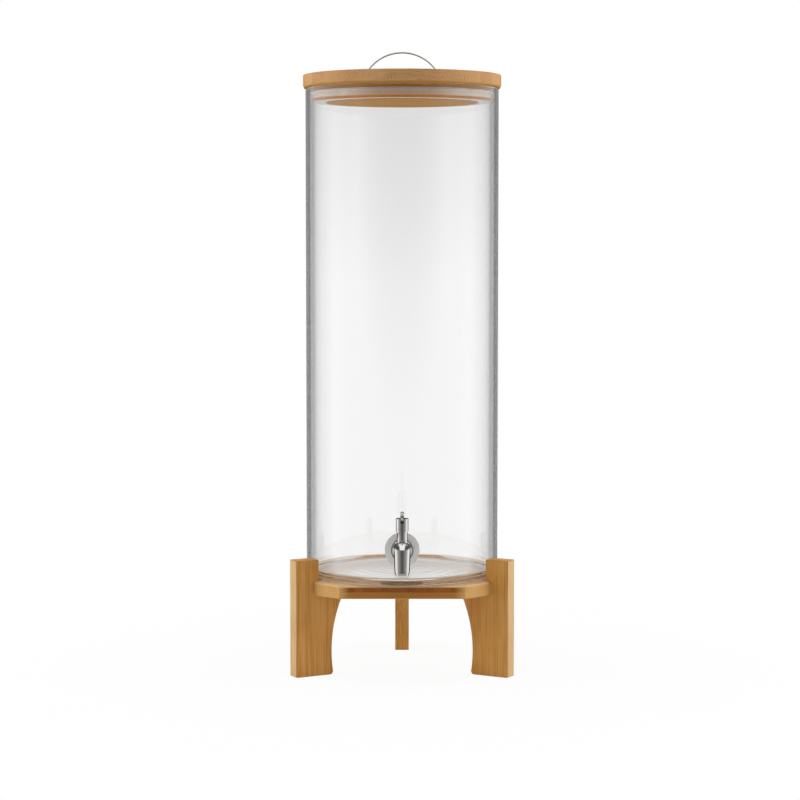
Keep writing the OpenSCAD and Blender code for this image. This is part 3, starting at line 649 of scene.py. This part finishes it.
def bar_tree():
    """A bar with rounded edges that follows a path, as wide as each corner of the path says."""
    tree, given = open_tree("bent_bar", ("Width", "Height", "Corner"))
    path = add(tree, "GeometryNodeMeshToCurve", {"Mesh": given["Geometry"]})
    upright = add(tree, "GeometryNodeSetCurveNormal", {"Curve": path}, mode="Z_UP")
    width = add(tree, "GeometryNodeInputNamedAttribute", {"Name": "width"}, data_type="FLOAT")
    sides = {"Width": given["Width"], "Height": given["Height"]}
    section = add(tree, "GeometryNodeCurvePrimitiveQuadrilateral", sides)
    corners = {"Curve": section, "Count": 4, "Radius": given["Corner"]}
    rounded = add(tree, "GeometryNodeFilletCurve", corners, mode="POLY")
    bar = add(
        tree, "GeometryNodeCurveToMesh",
        {"Curve": upright, "Profile Curve": rounded, "Scale": width, "Fill Caps": True},
    )
    return close_tree(tree, bar, given)


def merged_copy(node):
    """A copy of a CAD node's mesh with its loose triangles joined and its flat faces made whole."""
    mesh = NODES[node].data.copy()
    work = bmesh.new()
    work.from_mesh(mesh)
    bmesh.ops.remove_doubles(work, verts=work.verts, dist=0.002 * MM)
    bmesh.ops.dissolve_limit(
        work, angle_limit=math.radians(0.2), verts=work.verts, edges=work.edges, use_dissolve_boundaries=False
    )
    work.to_mesh(mesh)
    work.free()
    return mesh


def dress(name, mesh, material, body, slot, *nodes, crease=32):
    """Makes the finished piece of a mesh: its shading, its finish, its body and the solids it stands for."""
    mesh.name = name
    mesh.shade_smooth()
    mesh.set_sharp_from_angle(angle=math.radians(crease))
    mesh.materials.clear()
    mesh.materials.append(material)
    piece = put(name, mesh)
    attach(piece, body)
    if nodes:
        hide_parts(*nodes)
    return piece


def ease_edges(piece, width):
    """Rounds the sharp edges of a piece."""
    bevel = piece.modifiers.new("eased edges", "BEVEL")
    bevel.width = width
    bevel.segments = 3
    bevel.limit_method = "ANGLE"
    bevel.angle_limit = math.radians(40)
    bevel.harden_normals = True


def revolve(profile, steps):
    """A mesh turned about Z from points (radius, height); a point on the axis becomes a single corner."""
    work = bmesh.new()
    turns = [2 * math.pi * i / steps for i in range(steps)]
    rows = []
    for radius, height in profile:
        if radius < 0.0001 * MM:
            rows.append([work.verts.new((0, 0, height))] * steps)
        else:
            rows.append([work.verts.new((radius * math.cos(a), radius * math.sin(a), height)) for a in turns])
    for low, high in zip(rows, rows[1:]):
        for i in range(steps):
            j = (i + 1) % steps
            corners = list(dict.fromkeys((low[i], low[j], high[j], high[i])))
            work.faces.new(corners)
    bmesh.ops.recalc_face_normals(work, faces=work.faces)
    return mesh_of("turned", work)


def arc(centre, radius, start, end, steps):
    """Points on an arc, from one angle to another."""
    turns = [math.radians(start + (end - start) * i / steps) for i in range(steps + 1)]
    return [(centre[0] + radius * math.cos(a), centre[1] + radius * math.sin(a)) for a in turns]


def jar_profile():
    """Half outline of the jar, from the middle of its underside round its rim to the middle of its floor."""
    sizes = bpy.context.scene.dispenser_sizes
    outer = JAR_HIGH.y
    inner = outer - sizes.glass_wall
    gap = 0.05 * MM
    seat = JAR_LOW.z + gap
    top = JAR_HIGH.z - gap
    floor = JAR_LOW.z + sizes.glass_base
    heel = sizes.heel
    ring_width = 14 * MM
    foot = outer - heel - ring_width
    lift = 0.2 * MM
    rim = 1.5 * MM
    count = 64

    def dome(radius, level):
        ratio = min(radius / foot, 1)
        return level + sizes.punt * (1 - ratio * ratio)

    def ripple(radius, spacing, height):
        ratio = min(radius / foot, 1)
        return height * math.cos(2 * math.pi * radius / spacing) * (1 - ratio**4)

    radii = [foot * i / count for i in range(count + 1)]
    under = [(r, dome(r, seat + lift) + ripple(r, 13 * MM, 0.03 * MM)) for r in radii[:-1]] + [(foot, seat)]
    above = [(r, dome(r, floor) + ripple(r, 30 * MM, 0.02 * MM)) for r in reversed(radii)]
    # Short rows beside the rounded rim and heel keep the shading of the long wall straight
    near = 0.4 * MM
    tap_half = 18 * MM
    rows = [floor + heel + near, TAP_AXIS.z - tap_half, TAP_AXIS.z + tap_half, top - rim - near]
    outside = under + arc((outer - heel, seat + heel), heel, -90, 0, 8)
    outside += [(outer, z) for z in [seat + heel + near] + rows]
    lip = arc((outer - rim, top - rim), rim, 0, 90, 6) + arc((inner + rim, top - rim), rim, 90, 180, 6)
    inside = [(inner, z) for z in reversed(rows)]
    inside += arc((inner - heel, floor + heel), heel, 0, -90, 8)
    return outside + lip + inside + above


def drilled(mesh, radius):
    """The jar's mesh with the round hole for the tap's shank through its front wall."""
    work = bmesh.new()
    bmesh.ops.create_cone(
        work, cap_ends=True, segments=64, radius1=radius, radius2=radius, depth=40 * MM,
        matrix=Matrix.Translation((0, -JAR_HIGH.y, TAP_AXIS.z)) @ Matrix.Rotation(math.pi / 2, 4, "X"),
    )
    drill = put("drill", mesh_of("drill", work))
    blank = put("blank", mesh)
    hole = blank.modifiers.new("hole", "BOOLEAN")
    hole.object = drill
    hole.operation = "DIFFERENCE"
    hole.solver = "EXACT"
    result = baked(blank)
    bpy.data.objects.remove(drill)
    return result


def lever_path():
    """Corners of the lever's middle line and how wide the lever is at each, as a share of its full width."""
    half = LEVER_THICK / 2
    bend = 18 * MM
    low = LEVER_LOW.z + half
    high = LEVER_HIGH.z - half
    rise = (high - low) / 2
    lean = math.degrees(math.acos(1 - rise / bend))
    run = bend * math.sin(math.radians(lean))
    tip = LEVER_LOW.y + half
    flat = 5 * MM
    turn_out = tip + flat
    turn_in = turn_out + 2 * run
    first = [(LEVER_HIGH.y, low)] + arc((turn_in, low + bend), bend, -90, -90 - lean, 10)
    second = arc((turn_out, high - bend), bend, 90 - lean, 90, 10)
    least = 0.3
    dome = [(tip - half * math.sin(a), math.cos(a)) for a in (math.radians(15 * i) for i in range(6))]
    line = [(y, z, 1.0) for y, z in first + second[1:]] + [(y, high, max(share, least)) for y, share in dome]
    return [(0, y, z) for y, z, share in line], [share for y, z, share in line]


class DISPENSER_OT_stage(bpy.types.Operator):
    """Camera, floor, background and studio light"""

    bl_idname = "dispenser.stage"
    bl_label = "Stage"

    def execute(self, context):
        scene = context.scene
        lens = bpy.data.cameras.new("camera")
        lens.lens = 103.03
        lens.sensor_width = 36
        lens.clip_end = 50
        camera = put("camera", lens)
        camera.location = (-2.2 * MM, -2.4204, 0.4575)
        tilt_down = 4.097
        camera.rotation_euler = (math.radians(90 - tilt_down), 0, 0)
        scene.camera = camera
        scene.view_settings.view_transform = "Standard"
        # Light that goes round inside the thick glass of the base needs many turns before it comes out
        scene.cycles.max_bounces = 32
        scene.cycles.glossy_bounces = 16
        scene.cycles.transmission_bounces = 32
        scene.cycles.transparent_max_bounces = 32
        self.background(scene)
        self.floor()
        for side in (-1, 1):
            beside = (1.4 * side, 0.05, 0.7)
            self.lamp("side softbox", beside, (0, 0, 0.35), width=1.4, height=1.8, power=17)
        self.lamp("top softbox", (0, -0.3, 2.3), (0, 0, 0.3), width=1.6, height=1.6, power=10)
        grey = self.card_material("grey_card", dark=0.12, start=0.1)
        black = self.card_material("black_flag", dark=0.02, start=0.3)
        self.card("front_card", (0, -3.0, 0.65), (0, 0, 0.65), 5.5, 0.75, grey, through_glass=True)
        for side in (-1, 1):
            self.card("back_flag", (0.32 * side, 0.45, 0.4), (0, 0, 0.4), 0.24, 2.4, black)
        return {"FINISHED"}

    def seen(self, tree):
        """Whether the eye, a mirror or a lens looks, and not the light that falls on things."""
        path = add(tree, "ShaderNodeLightPath").outputs
        rays = {0: path["Is Camera Ray"], 1: path["Is Glossy Ray"]}
        direct = add(tree, "ShaderNodeMath", rays, operation="MAXIMUM")
        return add(tree, "ShaderNodeMath", {0: direct, 1: path["Is Transmission Ray"]}, operation="MAXIMUM")

    def background(self, scene):
        """White wherever it is seen, a shade greyer high up through glass, and a softer light on things."""
        world = bpy.data.worlds.new("studio")
        world.use_nodes = True
        tree = world.node_tree
        tree.nodes.clear()
        way = add(tree, "ShaderNodeTexCoord").outputs["Generated"]
        parts = add(tree, "ShaderNodeSeparateXYZ", {0: way}).outputs
        grey = add(
            tree, "ShaderNodeMapRange",
            {"Value": parts["Z"], "From Min": -0.02, "From Max": 0.06, "To Min": 1.0, "To Max": 0.87},
        )
        path = add(tree, "ShaderNodeLightPath").outputs
        gloss = add(
            tree, "ShaderNodeMix", {"Factor": path["Is Glossy Ray"], "A": 1.0, "B": self.room(tree, parts)}
        )
        shade = add(tree, "ShaderNodeMix", {"Factor": path["Is Transmission Ray"], "A": gloss, "B": grey})
        level = add(tree, "ShaderNodeMix", {"Factor": self.seen(tree), "A": 0.4, "B": shade})
        light = add(tree, "ShaderNodeBackground", {"Color": (1, 1, 1, 1), "Strength": level})
        add(tree, "ShaderNodeOutputWorld", {"Surface": light})
        scene.world = world

    def room(self, tree, way):
        """How bright the studio is in a mirror: dark behind the camera, below and high up on both sides."""
        off = add(tree, "ShaderNodeMath", {0: way["X"]}, operation="ABSOLUTE")
        front = add(
            tree, "ShaderNodeMapRange",
            {"Value": way["Y"], "From Min": -0.3, "From Max": 0.1, "To Min": 1.0, "To Max": 0.0},
        )
        # Soft steps by height and to the sides, each from its first to its second value
        steps = {
            "low": (way["Z"], 0.15, 0.32, 1.0, 0.0),
            "deep": (way["Z"], -0.8, -0.55, 0.0, 1.0),
            "side": (off, 0.42, 0.66, 0.0, 1.0),
            "high": (way["Z"], 0.05, 0.3, 0.0, 1.0),
            "shade": (way["Z"], -0.75, -0.45, 0.5, 1.0),
        }
        soft = {}
        for name, (value, start, end, first, second) in steps.items():
            soft[name] = add(
                tree, "ShaderNodeMapRange",
                {"Value": value, "From Min": start, "From Max": end, "To Min": first, "To Max": second},
                interpolation_type="SMOOTHSTEP",
            )
        level = add(tree, "ShaderNodeMath", {0: soft["low"], 1: soft["deep"]}, operation="MULTIPLY")
        band = add(tree, "ShaderNodeMath", {0: front, 1: level}, operation="MULTIPLY")
        greys = ((0.0, 0.08), (0.3, 0.13), (0.55, 0.22), (0.75, 0.3), (0.9, 0.42), (0.98, 0.7))
        middle = add(tree, "ShaderNodeValToRGB", {"Fac": off}, stops=greys)
        wall = add(tree, "ShaderNodeMix", {"Factor": band, "A": 1.0, "B": middle})
        dark = add(tree, "ShaderNodeMath", {0: soft["side"], 1: soft["high"]}, operation="MULTIPLY")
        whole = add(tree, "ShaderNodeMix", {"Factor": dark, "A": wall, "B": 0.08})
        return add(tree, "ShaderNodeMath", {0: whole, 1: soft["shade"]}, operation="MULTIPLY")

    def sheet(self, name, half, material):
        """A square sheet of the stage."""
        work = bmesh.new()
        bmesh.ops.create_grid(work, x_segments=1, y_segments=1, size=half)
        mesh = mesh_of(name, work)
        mesh.materials.append(material)
        return put(name, mesh)

    def floor(self):
        """A wide white floor that keeps a soft shadow near the object."""
        material, tree, place = finish("white_paper")
        paper = add(
            tree, "ShaderNodeBsdfPrincipled",
            {"Base Color": linear("#f4f4f3"), "Roughness": 0.9, "Specular IOR Level": 0.1},
        )
        away = add(tree, "ShaderNodeVectorMath", {0: place["Object"]}, operation="LENGTH")
        white_share = add(
            tree, "ShaderNodeMapRange",
            {"Value": away, "From Min": 0.12, "From Max": 0.6, "To Min": 0.93, "To Max": 1.0},
        )
        share = add(tree, "ShaderNodeMath", {0: self.seen(tree), 1: white_share}, operation="MULTIPLY")
        white = add(tree, "ShaderNodeEmission", {"Color": (1, 1, 1, 1), "Strength": 1.0})
        both = add(tree, "ShaderNodeMixShader", {0: share, 1: paper, 2: white})
        add(tree, "ShaderNodeOutputMaterial", {"Surface": both})
        floor = self.sheet("floor", 12, material)
        floor.location.z = -0.2 * MM
        floor.visible_glossy = False

    def aim(self, thing, place, target, front):
        """Puts a lamp or a card in its place with its front towards a point."""
        thing.location = place
        thing.rotation_euler = (Vector(target) - Vector(place)).to_track_quat(front, "Y").to_euler()

    def lamp(self, name, place, target, width, height, power):
        """A soft box that faces the object and that no mirror shows."""
        light = bpy.data.lights.new(name, "AREA")
        light.shape = "RECTANGLE"
        light.size = width
        light.size_y = height
        light.energy = power
        lamp = put(name, light)
        self.aim(lamp, place, target, "-Z")
        lamp.visible_camera = False
        lamp.visible_glossy = False
        lamp.visible_transmission = False

    def card_material(self, name, dark, start):
        """Dark in the middle of a card, white towards its edges."""
        material, tree, place = finish(name)
        edge = add(tree, "ShaderNodeVectorMath", {0: place["Object"]}, operation="LENGTH")
        level = add(
            tree, "ShaderNodeMapRange",
            {"Value": edge, "From Min": start, "From Max": 1.0, "To Min": dark, "To Max": 1.0},
            interpolation_type="SMOOTHSTEP",
        )
        glow = add(tree, "ShaderNodeEmission", {"Color": (1, 1, 1, 1), "Strength": level})
        add(tree, "ShaderNodeOutputMaterial", {"Surface": glow})
        return material

    def card(self, name, place, target, half_width, half_height, material, through_glass=False):
        """A card that faces a point, and that only gloss sees or only what looks through glass."""
        card = self.sheet(name, 1, material)
        self.aim(card, place, target, "Z")
        card.scale = (half_width, half_height, 1)
        card.visible_camera = False
        card.visible_diffuse = False
        card.visible_glossy = not through_glass
        card.visible_transmission = through_glass
        card.visible_shadow = False


class DISPENSER_OT_stand(bpy.types.Operator):
    """Bamboo plate and legs with sanded edges, and the screws between them"""

    bl_idname = "dispenser.stand"
    bl_label = "Stand"

    def execute(self, context):
        sizes = context.scene.dispenser_sizes
        plate = merged_copy("stand_plate")
        dress("stand_plate_board", plate, plate_bamboo(), "stand", "bamboo", "stand_plate", crease=24)
        for name, angle in LEG_TURNS.items():
            grain = leg_bamboo(name + "_bamboo", angle)
            leg = dress(name + "_board", merged_copy(name), grain, "stand", "bamboo", name, crease=24)
            ease_edges(leg, sizes.board_edge)
        self.screws()
        return {"FINISHED"}

    def screws(self):
        """Countersunk screws down through the plate into the legs, two in each."""
        low, high = box_of("leg_screws")
        radius = 2 * MM
        head = 2 * radius
        edge = 0.15 * MM
        apart = 11 * MM
        outer = high.y - head
        steel = turned_steel("zinc_plated_steel", linear("#c8c6c2"), rough=0.3, arcs=0.1)
        spots = []
        for angle in LEG_TURNS.values():
            turn = Matrix.Rotation(math.radians(angle), 3, "Z")
            spots += [turn @ Vector((r, 0, high.z - edge)) for r in (outer - apart, outer)]
        values = {
            "Top radius": head - 0.2 * MM, "Head radius": head, "Edge height": edge,
            "Sink height": head - radius, "Shank radius": radius, "Length": high.z - low.z - edge,
            "Recess width": 1.1 * MM, "Recess depth": 1.2 * MM, "Finish": steel,
        }
        mesh = grown(screw_tree(), spots, values)
        dress("leg_screws_driven", mesh, steel, "stand", "stainless_steel", "leg_screws")


class DISPENSER_OT_jar(bpy.types.Operator):
    """Clear glass jar with its drilled front wall"""

    bl_idname = "dispenser.jar"
    bl_label = "Glass jar"

    def execute(self, context):
        hole_radius = 8.5 * MM
        mesh = drilled(revolve(jar_profile(), steps=360), hole_radius)
        dress("glass_jar_drawn", mesh, clear_glass(), "jar", "clear_glass", "glass_jar", crease=35)
        return {"FINISHED"}


class DISPENSER_OT_tap(bpy.types.Operator):
    """Steel tap, its turning lever and its fixings"""

    bl_idname = "dispenser.tap"
    bl_label = "Tap"

    def execute(self, context):
        sizes = context.scene.dispenser_sizes
        colours = context.scene.dispenser_colours
        upright = (0, -TAP_AXIS.y, 0)
        polished = turned_steel("polished_stainless", colours.steel, rough=0.1, arcs=0.04, centre=upright)
        lying = (math.pi / 2, 0, 0)
        level = (0, TAP_AXIS.z, 0)
        brushed = turned_steel(
            "brushed_stainless", colours.brushed, rough=0.8, arcs=0.25, turn=lying, centre=level, brush=0.6,
            metal=0.2,
        )
        silicone = milky_silicone("gasket_silicone")
        for node in ("tap_body", "plug_set_screw"):
            self.copy(node, polished, "jar", "stainless_steel")
        for node in ("tap_flange", "shank_washer", "shank_nut"):
            self.copy(node, brushed, "jar", "stainless_steel")
        for node in ("tap_cap", "cap_pin", "lever_pin", "valve_plug"):
            self.copy(node, polished, "lever", "stainless_steel")
        for node in ("outer_gasket", "inner_gasket"):
            self.copy(node, silicone, "jar", "silicone")
        self.lever(sizes.lever_corner, polished)
        self.rings()
        self.thread(sizes.thread_pitch, brushed)
        return {"FINISHED"}

    def copy(self, node, material, body, slot):
        """A smooth-shaded copy of a solid, its shading led by its broad faces."""
        piece = dress(node + "_finished", merged_copy(node), material, body, slot, node)
        lead = piece.modifiers.new("broad faces lead", "WEIGHTED_NORMAL")
        lead.keep_sharp = True

    def lever(self, corner, steel):
        """The bent bar of the lever with its domed tip."""
        corners, widths = lever_path()
        edges = [(i, i + 1) for i in range(len(corners) - 1)]
        wide = LEVER_HIGH.x - LEVER_LOW.x
        values = {"Width": wide, "Height": LEVER_THICK, "Corner": corner, "Finish": steel}
        mesh = grown(bar_tree(), corners, values, edges, widths)
        dress("tap_lever_bent", mesh, steel, "lever", "stainless_steel", "tap_lever")

    def rings(self):
        """The two rubber rings on the valve's plug."""
        low, high = box_of("plug_o_rings")
        cord = 0.6 * MM
        rubber = black_rubber()
        spots = [(0, TAP_AXIS.y, z) for z in (low.z + cord, high.z - cord)]
        values = {"Ring radius": high.x - cord, "Cord radius": cord, "Finish": rubber}
        mesh = grown(ring_tree(), spots, values)
        dress("plug_o_rings_moulded", mesh, rubber, "lever", "black_rubber", "plug_o_rings")

    def thread(self, pitch, steel):
        """The stretch of the shank's thread that shows past the nut."""
        shank_end = box_of("tap_body")[1].y
        nut_end = box_of("shank_nut")[1].y
        shank_radius = 8 * MM
        start = shank_end - 0.5 * pitch
        ridge = 0.35 * pitch
        values = {
            "Radius": shank_radius - 0.5 * ridge, "Pitch": pitch, "Length": start - nut_end - ridge,
            "Ridge": ridge, "Finish": steel,
        }
        mesh = grown(thread_tree(), [(0, start, TAP_AXIS.z)], values)
        dress("shank_thread_cut", mesh, steel, "jar", "stainless_steel")


class DISPENSER_OT_lid(bpy.types.Operator):
    """Bamboo lid, its seal, strap handle and screws"""

    bl_idname = "dispenser.lid"
    bl_label = "Lid"

    def execute(self, context):
        dress("lid_disc", merged_copy("lid_board"), lid_bamboo(), "lid", "lid_bamboo", "lid_board", crease=24)
        silicone = milky_silicone("moulded_silicone", SEAL_LOW.z, SEAL_HIGH.z)
        dress("lid_seal_moulded", merged_copy("lid_seal"), silicone, "lid", "silicone", "lid_seal")
        strap = turned_steel("strap_stainless", linear("#d8d2cc"), rough=0.5, arcs=0.0, metal=0.3)
        dress("lid_handle_strap", merged_copy("lid_handle"), strap, "lid", "stainless_steel", "lid_handle")
        self.screws(strap)
        return {"FINISHED"}

    def screws(self, steel):
        """Pan-head screws through the strap's ears."""
        low, high = box_of("handle_screws")
        head = high.y
        rise = 1.6 * MM
        spots = [(x, 0, high.z - rise) for x in (low.x + head, high.x - head)]
        values = {
            "Top radius": 0.72 * head, "Head radius": head, "Edge height": rise, "Sink height": 0.01 * MM,
            "Shank radius": head / 2, "Length": high.z - rise - low.z, "Recess width": 0.9 * MM,
            "Recess depth": 1.0 * MM, "Finish": steel,
        }
        mesh = grown(screw_tree(), spots, values)
        dress("handle_screws_driven", mesh, steel, "lid", "stainless_steel", "handle_screws")


class DISPENSER_PT_panel(bpy.types.Panel):
    """Buttons and sizes for the dispenser"""

    bl_idname = "DISPENSER_PT_panel"
    bl_label = "Dispenser"
    bl_space_type = "VIEW_3D"
    bl_region_type = "UI"
    bl_category = "Dispenser"

    def draw(self, context):
        for operator in OPERATORS:
            self.layout.operator(operator.bl_idname)
        for group in (context.scene.dispenser_sizes, context.scene.dispenser_colours):
            for name in group.bl_rna.properties.keys():
                if name not in {"rna_type", "name"}:
                    self.layout.prop(group, name)


OPERATORS = (DISPENSER_OT_stage, DISPENSER_OT_stand, DISPENSER_OT_jar, DISPENSER_OT_tap, DISPENSER_OT_lid)
CLASSES = (DispenserSizes, DispenserColours, *OPERATORS, DISPENSER_PT_panel)


def register():
    for cls in CLASSES:
        bpy.utils.register_class(cls)
    bpy.types.Scene.dispenser_sizes = bpy.props.PointerProperty(type=DispenserSizes)
    bpy.types.Scene.dispenser_colours = bpy.props.PointerProperty(type=DispenserColours)


def unregister():
    del bpy.types.Scene.dispenser_colours
    del bpy.types.Scene.dispenser_sizes
    for cls in reversed(CLASSES):
        bpy.utils.unregister_class(cls)


def main():
    register()
    bpy.ops.dispenser.stage()
    bpy.ops.dispenser.stand()
    bpy.ops.dispenser.jar()
    bpy.ops.dispenser.tap()
    bpy.ops.dispenser.lid()


if __name__ == "__main__":
    main()
